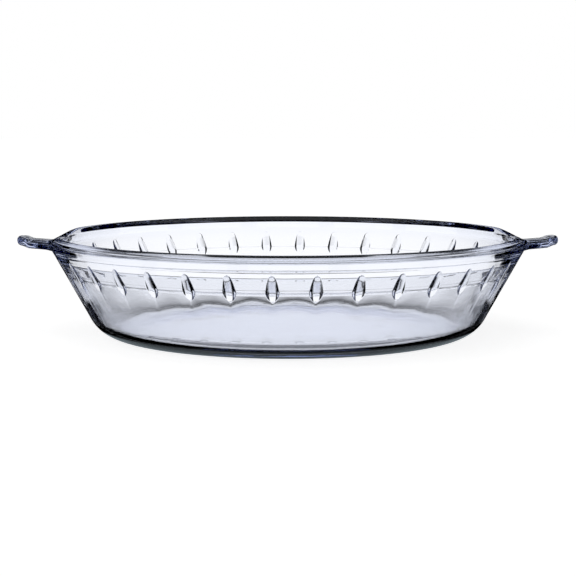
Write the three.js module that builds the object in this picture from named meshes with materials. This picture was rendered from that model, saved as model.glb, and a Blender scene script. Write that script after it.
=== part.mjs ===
import * as THREE from 'three';
import { mergeVertices } from 'three/addons/utils/BufferGeometryUtils.js';

// A round pressed-glass baking dish: a flared wall with a ring of ribs inside, a thick rim band with
// a rounded lip, and two ear handles. Millimetres, +Z up, handles along X, standing on z = 0.

// Whole dish
const HEIGHT = 56;
const RIM_HEIGHT = 7.4;
const WALL_TOP_RADIUS = 131.3;
const WALL_SLOPE = 0.547;

// Base pan
const FLOOR_THICKNESS = 5;
const HEEL_RADIUS = 23.2;
const INNER_HEEL_RADIUS = 19;
const FOOT_WIDTH = 9;
const FOOT_RECESS = 0.6;
const FOOT_BEVEL = 1.6;
const HEEL_MARGIN = 0.4;

// Ribbed wall. Thicknesses are level ones, and drops are measured down from the rim's top.
const RIM_WALL_THICKNESS = 5.4;
const LEDGE_WALL_THICKNESS = 3.9;
const LEDGE_STEP = 0.6;
const LEDGE_DROP = 17.1;
const LEDGE_HEIGHT = 1.4;
const LOWER_INNER_SLOPE = 0.572;
const RIB_COUNT = 36;
const RIB_TOP_DROP = 10.4;
const RIB_LENGTH = 14.4;
const RIB_WIDTH = 6.2;
const RIB_HEIGHT = 1.3;
const RIB_SHOULDER = 0.54;
const FLUTE_DEPTH = 0.7;
const FLUTE_LENGTH = 18;

// Rim band and lip
const BAND_OVERHANG = 0.6;
const BAND_HEIGHT = 4;
const BAND_EDGE = 0.4;
const LIP_INSET = 1.5;
const LIP_WIDTH = 4.1;
const LIP_SQUARENESS = 2.6;
const LIP_LOWERING = 2.6;
const LIP_LOW_ANGLE = 9;
const LIP_BLEND_ANGLE = 13;

// Ear handles
const HANDLE_REACH = 20.1;
const HANDLE_WIDTH = 26;
const HANDLE_ROOT_WIDTH = 56;
const HANDLE_FLARE = 11;
const HANDLE_NOSE = 10;
const HANDLE_THICKNESS = 3.8;
const HANDLE_TIP_THICKNESS = 4.9;
const HANDLE_RISE = 1.8;
const HANDLE_EDGE = 2.4;
const HANDLE_CURL = 1.5;
const HANDLE_FLATNESS = 0.6;
const SEAM = 0.3;

// Fineness of the facets
const ROUND_STEPS = 96;
const ARC_STEPS = 6;
const RIB_STEPS = 7;
const HANDLE_STEPS = 12;

// Levels and radii that follow from the sizes above
const WALL_TOP = HEIGHT - RIM_HEIGHT;
const LEDGE_TOP = HEIGHT - LEDGE_DROP;
const LEDGE_BOTTOM = LEDGE_TOP - LEDGE_HEIGHT;
const RIB_TOP = HEIGHT - RIB_TOP_DROP;
const RIB_BOTTOM = RIB_TOP - RIB_LENGTH;
const FLUTE_BOTTOM = LEDGE_BOTTOM - FLUTE_LENGTH;
const BAND_RADIUS = WALL_TOP_RADIUS + BAND_OVERHANG;
const LIP_HEIGHT = RIM_HEIGHT - BAND_HEIGHT;
const LIP_RADIUS = BAND_RADIUS - LIP_INSET - LIP_WIDTH / 2;

function outerRadius(z) {
  return WALL_TOP_RADIUS - WALL_SLOPE * (WALL_TOP - z);
}

// Inner wall between the ribs: a steep upper face, the ledge, then the slanted lower face.
const RIM_INNER_RADIUS = outerRadius(WALL_TOP) - RIM_WALL_THICKNESS;
const LEDGE_INNER_RADIUS = outerRadius(LEDGE_TOP) - LEDGE_WALL_THICKNESS;
const LOWER_INNER_RADIUS = outerRadius(LEDGE_BOTTOM) - LEDGE_WALL_THICKNESS - LEDGE_STEP;

function panelRadius(z) {
  if (z >= LEDGE_TOP) {
    return THREE.MathUtils.mapLinear(z, LEDGE_TOP, WALL_TOP, LEDGE_INNER_RADIUS, RIM_INNER_RADIUS);
  }
  if (z >= LEDGE_BOTTOM) {
    return THREE.MathUtils.mapLinear(z, LEDGE_BOTTOM, LEDGE_TOP, LOWER_INNER_RADIUS, LEDGE_INNER_RADIUS);
  }
  return LOWER_INNER_RADIUS - LOWER_INNER_SLOPE * (LEDGE_BOTTOM - z);
}

// A rib is a drop shape: pointed at its top, widest at the shoulder, round at its foot.
function ribHalfWidth(z) {
  const along = (RIB_TOP - z) / RIB_LENGTH;
  if (along <= 0 || along >= 1) {
    return 0;
  }
  if (along < RIB_SHOULDER) {
    return (RIB_WIDTH / 2) * Math.sin((along / RIB_SHOULDER) * (Math.PI / 2));
  }
  const beyond = (along - RIB_SHOULDER) / (1 - RIB_SHOULDER);
  return (RIB_WIDTH / 2) * Math.sqrt(1 - beyond ** 2);
}

function ribHeight(z, across) {
  const half = ribHalfWidth(z);
  if (Math.abs(across) >= half) {
    return 0;
  }
  return RIB_HEIGHT * (half / (RIB_WIDTH / 2)) * Math.sqrt(1 - (across / half) ** 2);
}

// Under the ledge each panel is a shallow hollow, and the hollows meet in a ridge at every rib.
function fluteRidge(z, share) {
  if (z >= LEDGE_TOP) {
    return 0;
  }
  const fade = THREE.MathUtils.smoothstep(z, FLUTE_BOTTOM, LEDGE_BOTTOM);
  return FLUTE_DEPTH * fade * (1 - 2 * share) ** 2;
}

function innerRadius(z, across) {
  const pitch = (2 * Math.PI * LEDGE_INNER_RADIUS) / RIB_COUNT;
  return panelRadius(z) - fluteRidge(z, Math.abs(across) / pitch) - ribHeight(z, across);
}

// The heel rounds are tangent to the wall's lines, and the base ends just above them.
function heelRound(radius, slope, lowest, radiusAt) {
  const level = lowest + radius;
  const lean = Math.atan(slope);
  const centre = radiusAt(level) - radius / Math.cos(lean);
  return { centre, level, radius, lean, top: level - radius * Math.sin(lean) };
}

const OUTER_HEEL = heelRound(HEEL_RADIUS, WALL_SLOPE, 0, outerRadius);
const INNER_HEEL = heelRound(
  INNER_HEEL_RADIUS,
  LOWER_INNER_SLOPE,
  FLOOR_THICKNESS,
  (z) => LOWER_INNER_RADIUS - LOWER_INNER_SLOPE * (LEDGE_BOTTOM - z)
);
const BASE_TOP = Math.max(OUTER_HEEL.top, INNER_HEEL.top) + HEEL_MARGIN;

function heelPoints(heel) {
  const points = [];
  for (let i = 0; i <= ARC_STEPS; i++) {
    const angle = -Math.PI / 2 + (i / ARC_STEPS) * (Math.PI / 2 - heel.lean);
    points.push([heel.centre + heel.radius * Math.cos(angle), heel.level + heel.radius * Math.sin(angle)]);
  }
  return points;
}

function glass(name) {
  const material = new THREE.MeshStandardMaterial({
    color: 0xe8edf4,
    roughness: 0.04,
    metalness: 0,
    transparent: true,
    opacity: 0.35
  });
  material.name = name;
  return material;
}

function bodyFrom(positions, faces) {
  const geometry = new THREE.BufferGeometry();
  geometry.setAttribute('position', new THREE.Float32BufferAttribute(positions.flat(), 3));
  geometry.setIndex(faces.flat());
  const merged = mergeVertices(geometry, 1e-4);
  merged.computeVertexNormals();
  return merged;
}

// A closed ring: the section at each angle is a loop of [radius, z] points that runs up the outside
// and down the inside.
function ringBody(angles, sectionAt) {
  const positions = [];
  const faces = [];
  const sections = angles.map(sectionAt);
  const count = sections[0].length;
  angles.forEach((angle, i) => {
    for (const [radius, z] of sections[i]) {
      positions.push([radius * Math.cos(angle), radius * Math.sin(angle), z]);
    }
  });
  for (let i = 0; i < angles.length; i++) {
    const here = i * count;
    const next = ((i + 1) % angles.length) * count;
    for (let j = 0; j < count; j++) {
      const k = (j + 1) % count;
      faces.push([here + j, next + j, next + k], [here + j, next + k, here + k]);
    }
  }
  return bodyFrom(positions, faces);
}

function evenAngles(count) {
  return Array.from({ length: count }, (_, i) => (i / count) * 2 * Math.PI);
}

function basePan() {
  const footOuter = OUTER_HEEL.centre;
  const footInner = footOuter - FOOT_WIDTH;
  const profile = [
    [0, FOOT_RECESS],
    [footInner - FOOT_BEVEL, FOOT_RECESS],
    [footInner, 0],
    ...heelPoints(OUTER_HEEL),
    [outerRadius(BASE_TOP), BASE_TOP],
    [panelRadius(BASE_TOP), BASE_TOP],
    ...heelPoints(INNER_HEEL).reverse(),
    [0, FLOOR_THICKNESS]
  ];
  const lathe = new THREE.LatheGeometry(profile.map(([r, z]) => new THREE.Vector2(r, z)), ROUND_STEPS);
  lathe.rotateX(Math.PI / 2);
  lathe.deleteAttribute('uv');
  lathe.deleteAttribute('normal');
  const merged = mergeVertices(lathe, 1e-4);
  merged.computeVertexNormals();
  return merged;
}

function ribbedWall() {
  const ribLevels = Array.from({ length: RIB_STEPS + 1 }, (_, i) => RIB_TOP - (i / RIB_STEPS) * RIB_LENGTH);
  const marks = [...ribLevels, LEDGE_TOP, LEDGE_BOTTOM, FLUTE_BOTTOM];
  const inside = marks.filter((z) => z > BASE_TOP && z < WALL_TOP).sort((a, b) => b - a);
  const levels = [WALL_TOP, ...inside, BASE_TOP];
  const pitch = (2 * Math.PI) / RIB_COUNT;
  const columns = [];
  for (let rib = 0; rib < RIB_COUNT; rib++) {
    const middle = (rib + 0.5) * pitch;
    for (const across of [-RIB_WIDTH / 2, -RIB_WIDTH / 4, 0, RIB_WIDTH / 4, RIB_WIDTH / 2]) {
      columns.push({ angle: middle + across / LEDGE_INNER_RADIUS, across });
    }
    columns.push({ angle: middle + pitch / 2, across: (pitch / 2) * LEDGE_INNER_RADIUS });
  }
  const across = new Map(columns.map((column) => [column.angle, column.across]));
  return ringBody(
    columns.map((column) => column.angle),
    (angle) => [
      [outerRadius(BASE_TOP), BASE_TOP],
      [outerRadius(WALL_TOP), WALL_TOP],
      ...levels.map((z) => [innerRadius(z, across.get(angle)), z])
    ]
  );
}

// Beside a handle the lip sinks almost to the band, so that the ear's top runs on into the dish.
function lipHeight(angle) {
  const fromHandle = THREE.MathUtils.radToDeg(Math.asin(Math.abs(Math.sin(angle))));
  const rise = THREE.MathUtils.smoothstep(fromHandle, LIP_LOW_ANGLE, LIP_LOW_ANGLE + LIP_BLEND_ANGLE);
  return LIP_HEIGHT - LIP_LOWERING * (1 - rise);
}

function rimBand() {
  const shoulder = WALL_TOP + BAND_HEIGHT;
  return ringBody(evenAngles(ROUND_STEPS), (angle) => {
    const lip = [];
    for (let i = 0; i <= 2 * ARC_STEPS; i++) {
      const turn = (i / (2 * ARC_STEPS)) * Math.PI;
      const out = Math.sign(Math.cos(turn)) * Math.abs(Math.cos(turn)) ** (2 / LIP_SQUARENESS);
      const up = Math.sin(turn) ** (2 / LIP_SQUARENESS);
      lip.push([LIP_RADIUS + (LIP_WIDTH / 2) * out, shoulder + lipHeight(angle) * up]);
    }
    return [
      [BAND_RADIUS - BAND_EDGE, WALL_TOP],
      [BAND_RADIUS, WALL_TOP + BAND_EDGE],
      [BAND_RADIUS, shoulder - BAND_EDGE],
      [BAND_RADIUS - BAND_EDGE, shoulder],
      ...lip,
      [RIM_INNER_RADIUS, WALL_TOP]
    ];
  });
}

// Ear handle in plan: wide at the root, then straight, then a round nose.
function handleHalfWidth(out) {
  const flare = Math.max(0, 1 - out / HANDLE_FLARE) ** 2;
  const nose = Math.max(0, (out - (HANDLE_REACH - HANDLE_NOSE)) / HANDLE_NOSE);
  const straight = (HANDLE_WIDTH / 2) * Math.sqrt(1 - nose ** 2);
  return straight + ((HANDLE_ROOT_WIDTH - HANDLE_WIDTH) / 2) * flare;
}

function handleHalfThickness(out) {
  const share = out / HANDLE_REACH;
  const full = THREE.MathUtils.lerp(HANDLE_THICKNESS, HANDLE_TIP_THICKNESS, share) / 2;
  const edge = Math.max(0, (out - (HANDLE_REACH - HANDLE_EDGE)) / HANDLE_EDGE);
  return full * Math.sqrt(1 - edge ** 2);
}

function handle() {
  const middle = WALL_TOP + BAND_HEIGHT / 2;
  const root = BAND_RADIUS + SEAM;
  const positions = [];
  const faces = [];
  const around = 2 * HANDLE_STEPS;
  for (let i = 0; i < HANDLE_STEPS; i++) {
    const out = HANDLE_REACH * Math.sin((i / HANDLE_STEPS) * (Math.PI / 2));
    const width = handleHalfWidth(out);
    const thickness = handleHalfThickness(out);
    const level = middle + HANDLE_RISE * (out / HANDLE_REACH) ** HANDLE_CURL;
    for (let j = 0; j < around; j++) {
      const turn = (j / around) * 2 * Math.PI;
      const y = width * Math.cos(turn);
      const up = Math.sign(Math.sin(turn)) * Math.abs(Math.sin(turn)) ** HANDLE_FLATNESS;
      positions.push([Math.sqrt(root ** 2 - y ** 2) + out, y, level + thickness * up]);
    }
  }
  const tip = positions.length;
  positions.push([root + HANDLE_REACH, 0, middle + HANDLE_RISE]);
  for (let i = 0; i < HANDLE_STEPS; i++) {
    for (let j = 0; j < around; j++) {
      const k = (j + 1) % around;
      const here = i * around;
      const next = here + around;
      if (i === HANDLE_STEPS - 1) {
        faces.push([here + j, here + k, tip]);
      } else {
        faces.push([here + j, here + k, next + k], [here + j, next + k, next + j]);
      }
    }
  }
  for (let j = 0; j < HANDLE_STEPS; j++) {
    const low = (around - j) % around;
    const lowNext = around - j - 1;
    if (j > 0) {
      faces.push([j, low, lowNext]);
    }
    if (j < HANDLE_STEPS - 1) {
      faces.push([j, lowNext, j + 1]);
    }
  }
  return bodyFrom(positions, faces);
}

const dish = new THREE.Group();

function addPiece(name, geometry) {
  const mesh = new THREE.Mesh(geometry, glass(name));
  mesh.name = name;
  dish.add(mesh);
  return mesh;
}

addPiece('base_pan', basePan());
addPiece('ribbed_wall', ribbedWall());
addPiece('rim_band', rimBand());
addPiece('handle_right', handle());
addPiece('handle_left', handle()).rotation.z = Math.PI;

export default dish;
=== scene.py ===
import bpy
import math
import numpy as np
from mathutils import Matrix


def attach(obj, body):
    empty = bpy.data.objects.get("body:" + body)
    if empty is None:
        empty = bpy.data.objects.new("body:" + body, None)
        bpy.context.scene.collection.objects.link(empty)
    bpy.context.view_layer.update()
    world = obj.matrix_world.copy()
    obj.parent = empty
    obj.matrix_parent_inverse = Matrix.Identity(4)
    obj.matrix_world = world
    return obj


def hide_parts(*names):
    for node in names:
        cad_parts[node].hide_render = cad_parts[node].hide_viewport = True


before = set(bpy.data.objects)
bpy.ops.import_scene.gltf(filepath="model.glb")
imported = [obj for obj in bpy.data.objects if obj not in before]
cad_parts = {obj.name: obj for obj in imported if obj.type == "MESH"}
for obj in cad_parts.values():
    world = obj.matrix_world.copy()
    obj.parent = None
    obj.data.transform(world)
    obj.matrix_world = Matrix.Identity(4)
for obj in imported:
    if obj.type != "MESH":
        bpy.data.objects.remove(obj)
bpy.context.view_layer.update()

# Dish glass: the whole baking dish, with pan, ribbed wall, rim and two ears, is one piece of clear glass,
# pressed hot between a plain outer mould and a plunger that leaves the ribs and the bead on the inside.
# The CAD splits it into five solids; here it is one skin, because seams inside glass would show as mirrors.
dish_height = 0.056
wall_top_radius = 0.1315
wall_slope = 0.547
wall_thickness = 0.0038
waist_thickness = 0.0034
lower_inner_slope = 0.565
floor_thickness = 0.0043
floor_rings = (0.008, 0.045)
heel_radius = 0.0197
inner_heel_radius = 0.0148
heel_parts = 16
foot_width = 0.009

rim_height = 0.0074
rim_wall = 0.0052
cove_height = 0.0055
cove_fullness = 1.25
band_height = 0.004
band_draft = 0.0013
band_crease = 0.00055
band_edge = 0.0004
band_foot_run = 0.0012
band_face_start = 0.0009
lip_inset = 0.0012
lip_width = 0.0051
lip_lowering = 0.0026
lip_low_degrees = 3
lip_full_degrees = 20
lip_fullness = 2.15
lip_parts = 15

rib_count = 36
rib_turn = math.radians(0.99)
rib_drop = 0.0094
rib_length = 0.0145
rib_width = 0.007
rib_height = 0.0024
rib_widest = 0.65
rib_head_curve = 0.36
rib_tail_curve = 1.5
rib_tail_round = 0.7
bead_drop = 0.01836
bead_half = 0.00122
bead_edge = 0.0004
bead_height = 0.00012
scallop_depth = 0.0003
scallop_length = 0.018

ear_reach = 0.0198
ear_width = 0.026
ear_root_width = 0.056
ear_flare = 0.011
ear_nose = 0.01
ear_thickness = 0.0057
ear_tip_thickness = 0.0054
ear_dome = 0.5
ear_tilt = 0.08
ear_tip_lift = 0.0011
ear_tip_length = 0.0057
ear_edge = 0.0027
ear_edge_curve = 0.83
ear_drop = 0.001
ear_fillet = 0.0018
ear_fillet_share = 0.35
ear_root_depth = 0.0014
ear_root_blend = 0.004

wall_top = dish_height - rim_height
shoulder = wall_top + band_height
band_foot = wall_top - band_crease
band_foot_radius = wall_top_radius - wall_slope * band_crease
band_top_radius = band_foot_radius + band_draft
lip_centre = band_top_radius - lip_inset - lip_width / 2
lip_outer = lip_centre + lip_width / 2
bead_level = dish_height - bead_drop
bead_top = bead_level + bead_half
bead_foot = bead_level - bead_half
rib_top = dish_height - rib_drop
rib_bottom = rib_top - rib_length


def blend(start, end, value):
    part = np.clip((value - start) / (end - start), 0, 1)
    return part * part * (3 - 2 * part)


def outer_radius(level):
    return wall_top_radius - wall_slope * (wall_top - level)


def inner_radius(level):
    cove_foot = wall_top - cove_height
    if level > wall_top:
        rim_inner = wall_top_radius - rim_wall
        return rim_inner + (lip_centre - lip_width / 2 - rim_inner) * (level - wall_top) / band_height
    if level > cove_foot:
        share = (level - cove_foot) / cove_height
        swell = (1 + cove_fullness) * share ** 2 - cove_fullness * share ** 3
        return outer_radius(level) - wall_thickness - (rim_wall - wall_thickness) * swell
    if level > bead_level:
        share = (level - bead_level) / (cove_foot - bead_level)
        return outer_radius(level) - waist_thickness - (wall_thickness - waist_thickness) * share
    return outer_radius(level) - waist_thickness - (lower_inner_slope - wall_slope) * (bead_level - level)


def rib_outline(level):
    share = (rib_top - level) / rib_length
    if share <= 0 or share >= 1:
        return 0.0
    if share < rib_widest:
        return (share / rib_widest) ** rib_head_curve
    return (1 - ((share - rib_widest) / (1 - rib_widest)) ** rib_tail_curve) ** rib_tail_round


# Columns of points round the dish, drawn together at each rib
rib_circle = inner_radius(bead_top)
rib_pitch = 2 * math.pi * rib_circle / rib_count
rib_column_shares = np.array([0, 0.3, 0.56, 0.77, 0.91, 1.0, 1.08, 1.3])
rib_clear_share = rib_column_shares[-1]
rib_column_shares = np.concatenate([-rib_column_shares[:0:-1], rib_column_shares])
gap_columns = 5


def column_angles(half_width):
    clear = rib_clear_share * half_width
    gap = np.linspace(clear, rib_pitch - clear, gap_columns + 2)[1:-1]
    turns = np.concatenate([rib_column_shares * half_width, gap]) / rib_circle
    middles = [rib_turn + (number + 0.5) * 2 * math.pi / rib_count for number in range(rib_count)]
    return np.concatenate([middle + turns for middle in middles])


plain_half = 0.62 * rib_width / 2
angles = column_angles(plain_half)
columns = len(angles)
way_out = np.stack([np.cos(angles), np.sin(angles)], 1)
rings = []
on_inner_wall = []


def ring(radius, level, ring_angles=angles, inner_wall=0.0):
    flat = np.full(columns, level) if np.isscalar(level) else level
    rings.append(np.stack([radius * np.cos(ring_angles), radius * np.sin(ring_angles), flat], 1))
    on_inner_wall.append(inner_wall)


def heel_ring(centre, level, radius, lean, part):
    tilt = -math.pi / 2 + part * (math.pi / 2 - lean)
    ring(centre + radius * math.cos(tilt), level + radius * math.sin(tilt))


# Plan of the ears: a flared root, a straight neck and a round nose
ear_circle = band_foot_radius + band_draft / 2
ear_half_angle = math.asin(ear_root_width / 2 / ear_circle)
ear_plan_steps = 4000
ear_even_share = 0.65
reach_steps = np.linspace(0, ear_reach, ear_plan_steps)
flare_part = np.maximum(0, 1 - reach_steps / ear_flare) ** 2
nose_part = np.maximum(0, (reach_steps - (ear_reach - ear_nose)) / ear_nose)
ear_half = ear_width / 2 * np.sqrt(np.maximum(0, 1 - nose_part ** 2))
ear_half = ear_half + (ear_root_width - ear_width) / 2 * flare_part
ear_x = np.sqrt(ear_circle ** 2 - ear_half ** 2) + reach_steps
edge_x = np.concatenate([ear_x, ear_x[::-1][1:]])
edge_y = np.concatenate([-ear_half, ear_half[::-1][1:]])
edge_run = np.concatenate([[0], np.cumsum(np.hypot(np.diff(edge_x), np.diff(edge_y)))])
edge_run = edge_run / edge_run[-1]
edge_points = ear_circle * way_out
ear_share = np.zeros(columns)
for side in (0, math.pi):
    off_axis = (angles - side + math.pi) % (2 * math.pi) - math.pi
    picked = np.where(np.abs(off_axis) < ear_half_angle)[0]
    picked = picked[np.argsort(off_axis[picked])]
    even = (np.arange(len(picked)) + 0.5) / len(picked)
    by_angle = 0.5 + 0.5 * off_axis[picked] / ear_half_angle
    along = (1 - ear_even_share) * by_angle + ear_even_share * even
    at_x = np.interp(along, edge_run, edge_x)
    at_y = np.interp(along, edge_run, edge_y)
    edge_points[picked] = np.stack([at_x * math.cos(side), at_y * math.cos(side)], 1)
    ear_share[picked] = blend(0, ear_root_blend, np.hypot(at_x, at_y) - ear_circle)

# Foot, heel and plain outer wall, from the middle of the underside up to the band
outer_lean = math.atan(wall_slope)
outer_heel_centre = outer_radius(heel_radius) - heel_radius / math.cos(outer_lean)
for radius in floor_rings + (outer_heel_centre - foot_width,):
    ring(radius, 0.0)
for part in np.linspace(0, 1, heel_parts):
    heel_ring(outer_heel_centre, heel_radius, heel_radius, outer_lean, part)
heel_top = heel_radius - heel_radius * math.sin(outer_lean)
wall_gap = 0.0002
wall_end = band_foot - wall_gap - (ear_fillet + ear_drop + ear_root_depth) * ear_share
for part in (0.25, 0.5, 0.75, 0.9, 0.97, 1.0):
    level = heel_top + (wall_end - heel_top) * part
    ring(outer_radius(level), level)

# Band and ears: each ring follows the band, and runs out round the ear where there is one
ear_root_rise = 0.0004
ear_tip_start = ear_reach - ear_tip_length - 0.0012
ear_tip_full = ear_reach - ear_tip_length + 0.0006
root_points = band_foot_radius * way_out
low_root_points = outer_radius(wall_end + ear_root_rise)[:, None] * way_out
span = edge_points - root_points
span_length = np.hypot(span[:, 0], span[:, 1])
span_way = span / np.maximum(span_length, 0.0001)[:, None]
flat_run = np.maximum(span_length - ear_edge, 0.0001)
straight_down = -math.pi / 2
straight_up = math.pi / 2


def rim_ring(share, tilt, plain_radius, plain_level):
    underneath = tilt <= straight_down
    outward = abs(math.cos(tilt)) ** ear_edge_curve
    upward = math.copysign(abs(math.sin(tilt)) ** ear_edge_curve, tilt)
    start = low_root_points if underneath else root_points
    place = start * (1 - share) + (root_points + span_way * flat_run[:, None]) * share
    place = place + span_way * ear_edge * outward
    reach = np.maximum(0, np.hypot(place[:, 0], place[:, 1]) - ear_circle)
    half = (ear_thickness + (ear_tip_thickness - ear_thickness) * reach / ear_reach) / 2
    half = half * (1 - ear_dome * np.minimum(1, np.abs(place[:, 1]) / (ear_width / 2)) ** 2)
    middle = (wall_top + shoulder) / 2 - ear_drop + ear_tilt * reach
    middle = middle + ear_tip_lift * blend(ear_tip_start, ear_tip_full, reach)
    fillet = ear_fillet * max(0, 1 - share / ear_fillet_share) ** 2 if underneath else 0.0
    ear_level = middle + half * upward - fillet
    plain_place = plain_radius * way_out
    both = plain_place + (place - plain_place) * ear_share[:, None]
    level = plain_level + (ear_level - plain_level) * ear_share
    rings.append(np.concatenate([both, level[:, None]], 1))
    on_inner_wall.append(0.0)


def band_face(level):
    return band_foot_radius + band_draft * (level - band_foot) / (shoulder - band_edge - band_foot)


ear_shares = np.array([0, 0.07, 0.16, 0.3, 0.5, 0.66, 0.75, 0.84])
for share, level in zip(ear_shares, band_foot + np.linspace(0, band_foot_run, len(ear_shares))):
    rim_ring(share, straight_down, band_face(level), level)
face_tilts = np.radians([-90, -75, -55, -32, -10, 5])
face_levels = np.linspace(wall_top + band_face_start, shoulder - band_edge, len(face_tilts))
for tilt, level in zip(face_tilts, face_levels):
    rim_ring(1.0, tilt, band_face(level), level)
edge_centre = band_top_radius - band_edge
for tilt in np.radians([20, 40, 60, 78, 90]):
    corner_level = shoulder - band_edge + band_edge * math.sin(tilt)
    rim_ring(1.0, tilt, edge_centre + band_edge * math.cos(tilt), corner_level)
for share, part in zip(ear_shares[:0:-1], np.linspace(0.12, 0.9, len(ear_shares) - 1)):
    rim_ring(share, straight_up, edge_centre + (lip_outer - edge_centre) * part, shoulder)

# Lip: a rounded bead of glass on the band, a little lower where it passes the ears
from_ear_axis = np.degrees(np.arcsin(np.abs(np.sin(angles))))
lip_sink = lip_lowering * (1 - blend(lip_low_degrees, lip_full_degrees, from_ear_axis))
lip_height = rim_height - band_height - lip_sink
for tilt in np.linspace(0, math.pi, lip_parts):
    outward = math.copysign(abs(math.cos(tilt)) ** (2 / lip_fullness), math.cos(tilt))
    upward = math.sin(tilt) ** (2 / lip_fullness)
    ring(lip_centre + lip_width / 2 * outward, shoulder + lip_height * upward)

# Inner wall and floor, with close rings where the plunger presses the ribs and the bead
inner_lean = math.atan(lower_inner_slope)
inner_heel_level = floor_thickness + inner_heel_radius
inner_heel_centre = inner_radius(inner_heel_level) - inner_heel_radius / math.cos(inner_lean)
inner_heel_top = inner_heel_level - inner_heel_radius * math.sin(inner_lean)
rib_fade = 0.005
rib_least_outline = 0.16
levels = [shoulder - 0.0008, wall_top + 0.0016, wall_top + 0.0004]
levels += list(np.linspace(wall_top - 0.0003, rib_top + 0.0004, 6))
levels += [rib_top + 0.00003]
levels += list(rib_top - (rib_top - bead_top) * np.linspace(0.012, 0.94, 12) ** 1.35)
levels += list(np.linspace(bead_top + 0.0003, bead_foot - 0.0003, 13))
levels += list(np.linspace(bead_foot - 0.0007, rib_bottom + 0.0003, 8))
levels += [rib_bottom, rib_bottom - 0.0006]
levels += list(np.linspace(rib_bottom - 0.0018, inner_heel_top, 6))
for level in levels:
    near_rib = np.clip(1 - max(level - rib_top, rib_bottom - level, 0) / rib_fade, 0, 1)
    rib_half = max(rib_outline(level), rib_least_outline) * rib_width / 2
    level_angles = column_angles(plain_half * (1 - near_rib) + rib_half * near_rib)
    ring(inner_radius(level), level, level_angles, 1.0)
for part in np.linspace(1, 0, heel_parts)[1:]:
    heel_ring(inner_heel_centre, inner_heel_level, inner_heel_radius, inner_lean, part)
for radius in floor_rings[::-1]:
    ring(radius, floor_thickness)

# Skin over all the rings, closed by a point under the floor and one on it
points = [(0, 0, 0.0)] + [tuple(point) for point in np.concatenate(rings)] + [(0, 0, floor_thickness)]
pairs = [(number, (number + 1) % columns) for number in range(columns)]
faces = [(0, 1 + second, 1 + first) for first, second in pairs]
for row in range(len(rings) - 1):
    low = 1 + row * columns
    high = low + columns
    faces += [(low + first, low + second, high + second, high + first) for first, second in pairs]
last = 1 + (len(rings) - 1) * columns
faces += [(last + first, last + second, len(points) - 1) for first, second in pairs]
dish_mesh = bpy.data.meshes.new("dish_glass")
dish_mesh.from_pydata(points, [], faces)
inner_mark = dish_mesh.attributes.new("inner_wall", "FLOAT", "POINT")
inner_mark.data.foreach_set("value", np.concatenate([[0.0], np.repeat(on_inner_wall, columns), [0.0]]))
dish = bpy.data.objects.new("dish_glass", dish_mesh)
bpy.context.scene.collection.objects.link(dish)

# Clear glass, faintly wavy from the hot mould and bluish where light runs far inside it
glass = bpy.data.materials.new("clear_pressed_glass")
glass.use_nodes = True
glass_nodes = glass.node_tree.nodes
glass_links = glass.node_tree.links
skin = glass_nodes["Principled BSDF"]
skin.inputs["Base Color"].default_value = (1.0, 1.0, 1.0, 1)
skin.inputs["Transmission Weight"].default_value = 1.0
skin.inputs["Roughness"].default_value = 0.0
skin.inputs["IOR"].default_value = 1.5
glass_place = glass_nodes.new("ShaderNodeTexCoord")
ripple = glass_nodes.new("ShaderNodeTexNoise")
ripple.inputs["Scale"].default_value = 60.0
ripple.inputs["Detail"].default_value = 2.0
glass_links.new(glass_place.outputs["Object"], ripple.inputs["Vector"])
wave = glass_nodes.new("ShaderNodeBump")
wave.inputs["Strength"].default_value = 1.0
wave.inputs["Distance"].default_value = 0.00006
glass_links.new(ripple.outputs["Fac"], wave.inputs["Height"])
glass_links.new(wave.outputs["Normal"], skin.inputs["Normal"])
shade = glass_nodes.new("ShaderNodeMix")
shade.data_type = "RGBA"
shade.inputs["A"].default_value = (0.985, 0.99, 0.995, 1)
shade.inputs["B"].default_value = (1.0, 1.0, 1.0, 1)
glass_links.new(ripple.outputs["Fac"], shade.inputs["Factor"])
glass_links.new(shade.outputs["Result"], skin.inputs["Base Color"])
tint = glass_nodes.new("ShaderNodeVolumeAbsorption")
tint.inputs["Color"].default_value = (0.04, 0.2, 0.68, 1)
tint.inputs["Density"].default_value = 25.0
glass_links.new(tint.outputs["Volume"], glass_nodes["Material Output"].inputs["Volume"])

# Plunger: Geometry Nodes press the ribs, the bead and the shallow scallops into the inner wall
press = bpy.data.node_groups.new("pressed_ribs", "GeometryNodeTree")
press.interface.new_socket("Geometry", in_out="INPUT", socket_type="NodeSocketGeometry")
press_values = {
    "Rib Count": rib_count,
    "Rib Turn": rib_turn,
    "Rib Circle": rib_circle,
    "Rib Top": rib_top,
    "Rib Length": rib_length,
    "Rib Width": rib_width,
    "Rib Height": rib_height,
    "Rib Widest": rib_widest,
    "Rib Start": 0.12,
    "Bead Level": bead_level,
    "Bead Half": bead_half,
    "Bead Edge": bead_edge,
    "Bead Height": bead_height,
    "Scallop Depth": scallop_depth,
    "Scallop Length": scallop_length,
}
for label in press_values:
    press.interface.new_socket(label, in_out="INPUT", socket_type="NodeSocketFloat")
press.interface.new_socket("Glass", in_out="INPUT", socket_type="NodeSocketMaterial")
press.interface.new_socket("Geometry", in_out="OUTPUT", socket_type="NodeSocketGeometry")
given = press.nodes.new("NodeGroupInput").outputs
press_end = press.nodes.new("NodeGroupOutput")


def set_socket(tree, socket, value):
    if isinstance(value, (int, float)):
        socket.default_value = value
    else:
        tree.links.new(value, socket)


def node_math(tree, operation, *values):
    node = tree.nodes.new("ShaderNodeMath")
    node.operation = operation
    for number, value in enumerate(values):
        set_socket(tree, node.inputs[number], value)
    return node.outputs[0]


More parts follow.
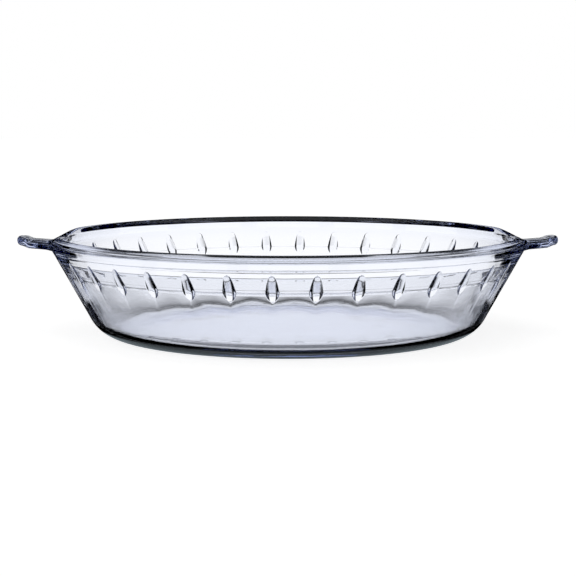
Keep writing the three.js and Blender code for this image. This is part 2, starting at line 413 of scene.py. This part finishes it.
def soft_step(tree, value, start, end, low=0.0, high=1.0):
    node = tree.nodes.new("ShaderNodeMapRange")
    node.interpolation_type = "SMOOTHSTEP"
    set_socket(tree, node.inputs["Value"], value)
    set_socket(tree, node.inputs["From Min"], start)
    set_socket(tree, node.inputs["From Max"], end)
    set_socket(tree, node.inputs["To Min"], low)
    set_socket(tree, node.inputs["To Max"], high)
    return node.outputs["Result"]


def calc(operation, *values):
    return node_math(press, operation, *values)


def limit(value):
    return calc("MINIMUM", calc("MAXIMUM", value, 0.0), 1.0)


# Where a point lies: across the nearest rib, and down it from its top
place = press.nodes.new("GeometryNodeInputPosition")
axes = press.nodes.new("ShaderNodeSeparateXYZ")
press.links.new(place.outputs["Position"], axes.inputs["Vector"])
height = axes.outputs["Z"]
turn = calc("SUBTRACT", calc("ARCTAN2", axes.outputs["Y"], axes.outputs["X"]), given["Rib Turn"])
rib_number = calc("MULTIPLY", calc("DIVIDE", turn, 2 * math.pi), given["Rib Count"])
from_rib = calc("ABSOLUTE", calc("SUBTRACT", calc("FRACT", rib_number), 0.5))
pitch = calc("DIVIDE", calc("MULTIPLY", given["Rib Circle"], 2 * math.pi), given["Rib Count"])
across = calc("MULTIPLY", from_rib, pitch)
down = calc("DIVIDE", calc("SUBTRACT", given["Rib Top"], height), given["Rib Length"])

# Rib: a narrow head that widens and rises on its way down, then a short tail
rib_slope_share = 0.88
rib_crest_round = 0.45
rib_side_curve = 2.5
least_half = 0.000001
tail_length = calc("SUBTRACT", 1.0, given["Rib Widest"])
head = limit(calc("DIVIDE", down, given["Rib Widest"]))
tail = limit(calc("DIVIDE", calc("SUBTRACT", down, given["Rib Widest"]), tail_length))
tail_narrowing = calc("SUBTRACT", 1.0, calc("POWER", tail, rib_tail_curve))
tail_width = calc("POWER", tail_narrowing, rib_tail_round)
width_here = calc("MULTIPLY", calc("POWER", head, rib_head_curve), tail_width)
start_share = limit(calc("DIVIDE", head, given["Rib Start"]))
start_rise = calc("SUBTRACT", 1.0, calc("POWER", calc("SUBTRACT", 1.0, start_share), 2.0))
slope_rise = calc("MULTIPLY", calc("DIVIDE", down, given["Rib Widest"]), rib_slope_share)
head_rise = calc("ADD", slope_rise, calc("MULTIPLY", start_rise, 1 - rib_slope_share))
tail_rise = calc("DIVIDE", calc("SUBTRACT", 1.0, down), tail_length)
crest = calc("MAXIMUM", calc("SMOOTH_MIN", head_rise, tail_rise, rib_crest_round), 0.0)
half_here = calc("MULTIPLY", calc("MULTIPLY", width_here, given["Rib Width"]), 0.5)
half_here = calc("MAXIMUM", half_here, least_half)
side_share = calc("POWER", calc("DIVIDE", across, half_here), rib_side_curve)
rib_rise = calc("MULTIPLY", calc("MULTIPLY", crest, given["Rib Height"]), calc("SUBTRACT", 1.0, side_share))

# Bead: two small steps up and one down, all round the wall
bead_waist_share = 0.44
bead_low = calc("SUBTRACT", given["Bead Level"], given["Bead Half"])
bead_high = calc("ADD", given["Bead Level"], given["Bead Half"])
bead_waist = calc("SUBTRACT", given["Bead Level"], calc("MULTIPLY", given["Bead Half"], bead_waist_share))
edge_half = calc("MULTIPLY", given["Bead Edge"], 0.5)
bead_steps = []
for step_level in (bead_high, bead_waist, bead_low):
    step_start = calc("ADD", step_level, edge_half)
    step_end = calc("SUBTRACT", step_level, edge_half)
    bead_steps.append(soft_step(press, height, step_start, step_end))
bead_wave = calc("MULTIPLY", calc("ADD", bead_steps[0], bead_steps[1]), 0.5)
bead_rise = calc("MULTIPLY", calc("SUBTRACT", bead_wave, bead_steps[2]), given["Bead Height"])

# Scallops: shallow hollows between the ribs that fade out down the wall
scallop_foot = calc("SUBTRACT", bead_low, given["Scallop Length"])
fade_low = limit(calc("DIVIDE", calc("SUBTRACT", height, scallop_foot), given["Scallop Length"]))
fade_low = calc("MULTIPLY", fade_low, fade_low)
fade_high = soft_step(press, height, bead_high, bead_low)
scallop_wave = calc("POWER", calc("SUBTRACT", 1.0, calc("MULTIPLY", from_rib, 2.0)), 2.0)
scallop_rise = calc("MULTIPLY", calc("MULTIPLY", fade_low, fade_high), scallop_wave)
scallop_rise = calc("MULTIPLY", scallop_rise, given["Scallop Depth"])

# The highest of them pushes the inner wall towards the middle of the dish
mark = press.nodes.new("GeometryNodeInputNamedAttribute")
mark.inputs["Name"].default_value = "inner_wall"
rise = calc("MAXIMUM", calc("ADD", bead_rise, scallop_rise), rib_rise)
rise = calc("MULTIPLY", rise, mark.outputs["Attribute"])
flat_place = press.nodes.new("ShaderNodeVectorMath")
flat_place.operation = "MULTIPLY"
press.links.new(place.outputs["Position"], flat_place.inputs[0])
flat_place.inputs[1].default_value = (-1, -1, 0)
inward = press.nodes.new("ShaderNodeVectorMath")
inward.operation = "NORMALIZE"
press.links.new(flat_place.outputs["Vector"], inward.inputs[0])
push = press.nodes.new("ShaderNodeVectorMath")
push.operation = "SCALE"
press.links.new(inward.outputs["Vector"], push.inputs[0])
press.links.new(rise, push.inputs["Scale"])
pressed = press.nodes.new("GeometryNodeSetPosition")
press.links.new(given["Geometry"], pressed.inputs["Geometry"])
press.links.new(push.outputs["Vector"], pressed.inputs["Offset"])
smooth = press.nodes.new("GeometryNodeSetShadeSmooth")
press.links.new(pressed.outputs["Geometry"], smooth.inputs["Geometry"])
whole = press.nodes.new("GeometryNodeRealizeInstances")
press.links.new(smooth.outputs["Geometry"], whole.inputs["Geometry"])
coated = press.nodes.new("GeometryNodeSetMaterial")
press.links.new(whole.outputs["Geometry"], coated.inputs["Geometry"])
press.links.new(given["Glass"], coated.inputs["Material"])
press.links.new(coated.outputs["Geometry"], press_end.inputs["Geometry"])
plunger = dish.modifiers.new("plunger", "NODES")
plunger.node_group = press
for item in press.interface.items_tree:
    if item.in_out == "INPUT" and item.name in press_values:
        plunger[item.identifier] = float(press_values[item.name])
    if item.in_out == "INPUT" and item.name == "Glass":
        plunger[item.identifier] = glass
bpy.context.view_layer.update()
pressed_dish = dish.evaluated_get(bpy.context.evaluated_depsgraph_get())
pressed_mesh = bpy.data.meshes.new_from_object(pressed_dish)
dish.modifiers.clear()
dish.data = pressed_mesh
pressed_mesh.name = "dish_glass_pressed"
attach(dish, "root")
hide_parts("base_pan", "ribbed_wall", "rim_band", "handle_right", "handle_left")

# Table: a plain pale table top that the dish stands on. The camera sees it white, with the faint shadow.
# To light that comes through the glass it is a light table: clear at low angles, so that the boards show
# through it, glowing at steeper ones, and dark in painted shadows: a ring under the heel, and patches
# behind the back rim and behind the ears.
table_half = 4
table_level = -0.0003
table_corners = [(-1, -1), (1, -1), (1, 1), (-1, 1)]
table_mesh = bpy.data.meshes.new("table")
table_points = [(x * table_half, y * table_half, table_level) for x, y in table_corners]
table_mesh.from_pydata(table_points, [], [(0, 1, 2, 3)])
table = bpy.data.objects.new("table", table_mesh)
bpy.context.scene.collection.objects.link(table)
table_skin = bpy.data.materials.new("white_table")
table_skin.use_nodes = True
table_tree = table_skin.node_tree
table_tree.nodes.remove(table_tree.nodes["Principled BSDF"])


def table_math(operation, *values):
    return node_math(table_tree, operation, *values)


def table_step(value, start, end, low=0.0, high=1.0):
    return soft_step(table_tree, value, start, end, low, high)


def table_product(*values):
    product = values[0]
    for value in values[1:]:
        product = table_math("MULTIPLY", product, value)
    return product


# Where a ray meets the table, and the sine and the slope at which it comes down
facing = table_tree.nodes.new("ShaderNodeLayerWeight")
facing.inputs["Blend"].default_value = 0.5
drop_sine = table_math("SUBTRACT", 1.0, facing.outputs["Facing"])
drop_cosine = table_math("SQRT", table_math("SUBTRACT", 1.0001, table_product(drop_sine, drop_sine)))
drop_slope = table_math("DIVIDE", drop_sine, drop_cosine)
table_rays = table_tree.nodes.new("ShaderNodeLightPath").outputs
table_place = table_tree.nodes.new("ShaderNodeTexCoord")
table_axes = table_tree.nodes.new("ShaderNodeSeparateXYZ")
table_tree.links.new(table_place.outputs["Object"], table_axes.inputs["Vector"])
table_y = table_axes.outputs["Y"]
square_x = table_product(table_axes.outputs["X"], table_axes.outputs["X"])
square_y = table_product(table_y, table_y)
reach = table_math("SQRT", table_math("ADD", square_x, square_y))
beside = table_math("ABSOLUTE", table_axes.outputs["X"])


def drop_step(start_degrees, end_degrees):
    return table_step(drop_sine, math.sin(math.radians(start_degrees)), math.sin(math.radians(end_degrees)))


# Clear at low angles, where the share of light let through fades evenly
passed = drop_step(24.5, 7)
passed.node.interpolation_type = "LINEAR"
through = table_tree.nodes.new("ShaderNodeBsdfTransparent")
table_tree.links.new(passed, through.inputs["Color"])

# Glowing for light that left the dish by one wall, or that lands clear of the heel; the ring between, under
# the heel, stays dark as a painted shadow of the heel
one_wall = table_step(table_rays["Ray Depth"], 2.8, 2.2)
inside_heel = table_step(reach, 0.083, 0.077)
clear_of_heel = table_step(reach, 0.134, 0.142)
lit_deep = table_product(table_math("MAXIMUM", inside_heel, clear_of_heel), drop_step(37, 28))

# Glowing also for light that crossed the near wall and the floor on its way down
table_rim_radius = 0.131
near_half = table_step(table_y, 0.01, -0.01)
crossing_drop = table_math("MAXIMUM", drop_step(29, 31.5), table_product(drop_step(20, 23), near_half))
wall_level = table_product(table_math("SUBTRACT", table_rim_radius, reach), drop_slope)
below_lip = table_step(wall_level, 0.047, 0.043)
within_heel = table_step(reach, 0.108, 0.102)
crossed = table_step(table_rays["Transmission Depth"], 3.2, 3.8, 0.0, 0.85)
crossed = table_product(crossed, crossing_drop, below_lip, within_heel)
lit = table_math("MAXIMUM", one_wall, table_math("MAXIMUM", lit_deep, crossed))
lit = table_product(lit, drop_step(10, 13), table_rays["Is Transmission Ray"])

# Painted shade: the table is dark for light that came through the back rim or through the ears, a shadow
# painted by where the ray lands and how steeply it comes down, not cast by any lamp
shade_depth = 0.97
rim_y = table_math("SUBTRACT", table_rim_radius ** 2, square_x)
rim_y = table_math("SQRT", table_math("MAXIMUM", rim_y, 0.0))
rim_level = table_product(table_math("SUBTRACT", table_y, rim_y), drop_slope)
rim_shade = table_product(table_step(rim_level, 0.046, 0.0485), table_step(beside, 0.1, 0.085))
ear_level = table_product(table_y, drop_slope)
ear_beside = table_math("SUBTRACT", beside, table_product(table_y, 0.167))
ear_shade = table_product(table_step(ear_level, 0.024, 0.034), table_step(ear_level, 0.064, 0.058))
ear_shade = table_product(ear_shade, table_step(beside, 0.122, 0.13), table_step(ear_beside, 0.168, 0.158))
ear_shade = table_product(ear_shade, table_math("SUBTRACT", 1.0, one_wall))
table_shade = table_product(table_math("MAXIMUM", rim_shade, ear_shade), shade_depth)
glow = table_tree.nodes.new("ShaderNodeEmission")
table_tree.links.new(table_math("SUBTRACT", 1.0, table_shade), glow.inputs["Strength"])

# A pale blue glow under the dish, which only a first reflection on the glass shows
under_strength = 0.35
under_glow = table_tree.nodes.new("ShaderNodeEmission")
under_glow.inputs["Color"].default_value = (0.76, 0.9, 1.0, 1)
first_bounce = table_step(table_rays["Ray Depth"], 1.8, 1.2)
under_dish = table_step(reach, 0.1065, 0.1035)
mirrored = table_product(first_bounce, table_rays["Is Reflection Ray"], under_dish, under_strength)
table_tree.links.new(mirrored, under_glow.inputs["Strength"])
clear_top = table_tree.nodes.new("ShaderNodeAddShader")
table_tree.links.new(through.outputs["BSDF"], clear_top.inputs[0])
table_tree.links.new(under_glow.outputs["Emission"], clear_top.inputs[1])

# White for the camera: mostly its own brightness, and a matt part that takes the shadow
white_glow = table_tree.nodes.new("ShaderNodeEmission")
white_glow.inputs["Strength"].default_value = 0.88
matt_top = table_tree.nodes.new("ShaderNodeBsdfDiffuse")
white_top = table_tree.nodes.new("ShaderNodeAddShader")
table_tree.links.new(white_glow.outputs["Emission"], white_top.inputs[0])
table_tree.links.new(matt_top.outputs["BSDF"], white_top.inputs[1])
glass_sees = table_tree.nodes.new("ShaderNodeMixShader")
table_tree.links.new(lit, glass_sees.inputs["Fac"])
table_tree.links.new(clear_top.outputs["Shader"], glass_sees.inputs[1])
table_tree.links.new(glow.outputs["Emission"], glass_sees.inputs[2])
table_seen = table_tree.nodes.new("ShaderNodeMixShader")
table_tree.links.new(table_rays["Is Camera Ray"], table_seen.inputs["Fac"])
table_tree.links.new(glass_sees.outputs["Shader"], table_seen.inputs[1])
table_tree.links.new(white_top.outputs["Shader"], table_seen.inputs[2])
table_tree.links.new(table_seen.outputs["Shader"], table_tree.nodes["Material Output"].inputs["Surface"])
table_mesh.materials.append(table_skin)

# Light boards: eight white boards in a ring round the table, with dark gaps between them and the two far
# corner boards left dark. They are the bright field that clear glass is photographed against, and only
# light that has passed through the glass shows them.
board_count = 8
board_distance = 1.0
board_half = 0.414
board_foot = -0.7
board_head = 0.6
board_strength = 1.15
board_points = []
board_across = []
for number in range(board_count):
    board_turn = number * 2 * math.pi / board_count
    for way, level in ((-1, board_foot), (1, board_foot), (1, board_head), (-1, board_head)):
        side = way * board_half
        board_x = side * math.cos(board_turn) - board_distance * math.sin(board_turn)
        board_y = side * math.sin(board_turn) + board_distance * math.cos(board_turn)
        board_points.append((board_x, board_y, level))
        board_across.append(side)
board_mesh = bpy.data.meshes.new("light_boards")
board_mesh.from_pydata(board_points, [], [tuple(range(4 * k, 4 * k + 4)) for k in range(board_count)])
across_values = board_mesh.attributes.new("across", "FLOAT", "POINT")
across_values.data.foreach_set("value", board_across)
boards = bpy.data.objects.new("light_boards", board_mesh)
bpy.context.scene.collection.objects.link(boards)
board_skin = bpy.data.materials.new("white_board")
board_skin.use_nodes = True
board_tree = board_skin.node_tree
board_tree.nodes.remove(board_tree.nodes["Principled BSDF"])
board_place = board_tree.nodes.new("ShaderNodeTexCoord")
board_axes = board_tree.nodes.new("ShaderNodeSeparateXYZ")
board_tree.links.new(board_place.outputs["Object"], board_axes.inputs["Vector"])
board_height = board_axes.outputs["Z"]
board_side = board_tree.nodes.new("ShaderNodeAttribute")
board_side.attribute_name = "across"
from_middle = node_math(board_tree, "ABSOLUTE", board_side.outputs["Fac"])
board_face = soft_step(board_tree, from_middle, 0.345, 0.305)
board_low = soft_step(board_tree, board_height, -0.1, -0.22, 0.0, 0.25)
board_bright = node_math(board_tree, "MAXIMUM", board_face, board_low)
board_corner = node_math(board_tree, "ABSOLUTE", board_axes.outputs["X"])
board_corner = node_math(board_tree, "MULTIPLY", board_corner, board_axes.outputs["Y"])
board_rays = board_tree.nodes.new("ShaderNodeLightPath").outputs
board_limits = (
    soft_step(board_tree, board_height, 0.54, 0.3),
    soft_step(board_tree, board_height, -0.66, -0.5),
    soft_step(board_tree, board_corner, 0.43, 0.41),
    board_rays["Is Transmission Ray"],
    board_strength,
)
for board_limit in board_limits:
    board_bright = node_math(board_tree, "MULTIPLY", board_bright, board_limit)
board_glow = board_tree.nodes.new("ShaderNodeEmission")
board_tree.links.new(board_bright, board_glow.inputs["Strength"])
board_tree.links.new(board_glow.outputs["Emission"], board_tree.nodes["Material Output"].inputs["Surface"])
board_mesh.materials.append(board_skin)
boards.visible_camera = False
boards.visible_shadow = False
boards.visible_diffuse = False

# Room: the space round the table and boards. It is white to the camera and nearly dark to the glass,
# with a little light from overhead. Light may cross the glass many times before it is given up.
room_dim = 0.01
room_overhead = 0.08
overhead_start = math.sin(math.radians(38))
overhead_full = math.sin(math.radians(50))
glass_bounces = 16
room = bpy.data.worlds.new("room")
bpy.context.scene.world = room
room.use_nodes = True
room_tree = room.node_tree
room_way = room_tree.nodes.new("ShaderNodeTexCoord")
room_axes = room_tree.nodes.new("ShaderNodeSeparateXYZ")
room_tree.links.new(room_way.outputs["Generated"], room_axes.inputs["Vector"])
room_up = room_axes.outputs["Z"]
room_bright = soft_step(room_tree, room_up, overhead_start, overhead_full, room_dim, room_overhead)
room_rays = room_tree.nodes.new("ShaderNodeLightPath").outputs
room_seen = node_math(room_tree, "MAXIMUM", room_bright, room_rays["Is Camera Ray"])
room_tree.links.new(room_seen, room_tree.nodes["Background"].inputs["Strength"])
room_tree.nodes["Background"].inputs["Color"].default_value = (1, 1, 1, 1)
bpy.context.scene.cycles.max_bounces = glass_bounces
bpy.context.scene.cycles.transmission_bounces = glass_bounces
bpy.context.scene.cycles.glossy_bounces = glass_bounces

# Lamp: one large soft studio lamp overhead, a little to the left and towards the camera.
# It gives the dish its faint shadow on the table.
lamp_light = bpy.data.lights.new("studio_lamp", "SUN")
lamp_light.energy = 0.5
lamp_light.angle = math.radians(70)
lamp = bpy.data.objects.new("studio_lamp", lamp_light)
lamp.rotation_euler = (math.radians(20), math.radians(-12), 0)
lamp.visible_glossy = False
lamp.visible_transmission = False
bpy.context.scene.collection.objects.link(lamp)

# Camera: low and close to square on, with a long lens, as the photograph was taken.
# Its lens is worked out from a focal length in pixels of the picture.
picture_width = 576
focal_pixels = 1629.5
camera_distance = 0.9117
camera_height = 0.133465
camera_turn = math.radians(0.45)
camera_drop = math.radians(6.784)
view = bpy.data.cameras.new("photo_camera")
view.sensor_width = 36
view.lens = focal_pixels / picture_width * view.sensor_width
view.clip_end = 50
camera = bpy.data.objects.new("photo_camera", view)
camera_x = -camera_distance * math.sin(camera_turn)
camera_y = -camera_distance * math.cos(camera_turn)
camera.location = (camera_x, camera_y, camera_height)
camera.rotation_euler = (math.pi / 2 - camera_drop, 0, -camera_turn)
bpy.context.scene.collection.objects.link(camera)
bpy.context.scene.camera = camera
bpy.context.scene.view_settings.view_transform = "Standard"
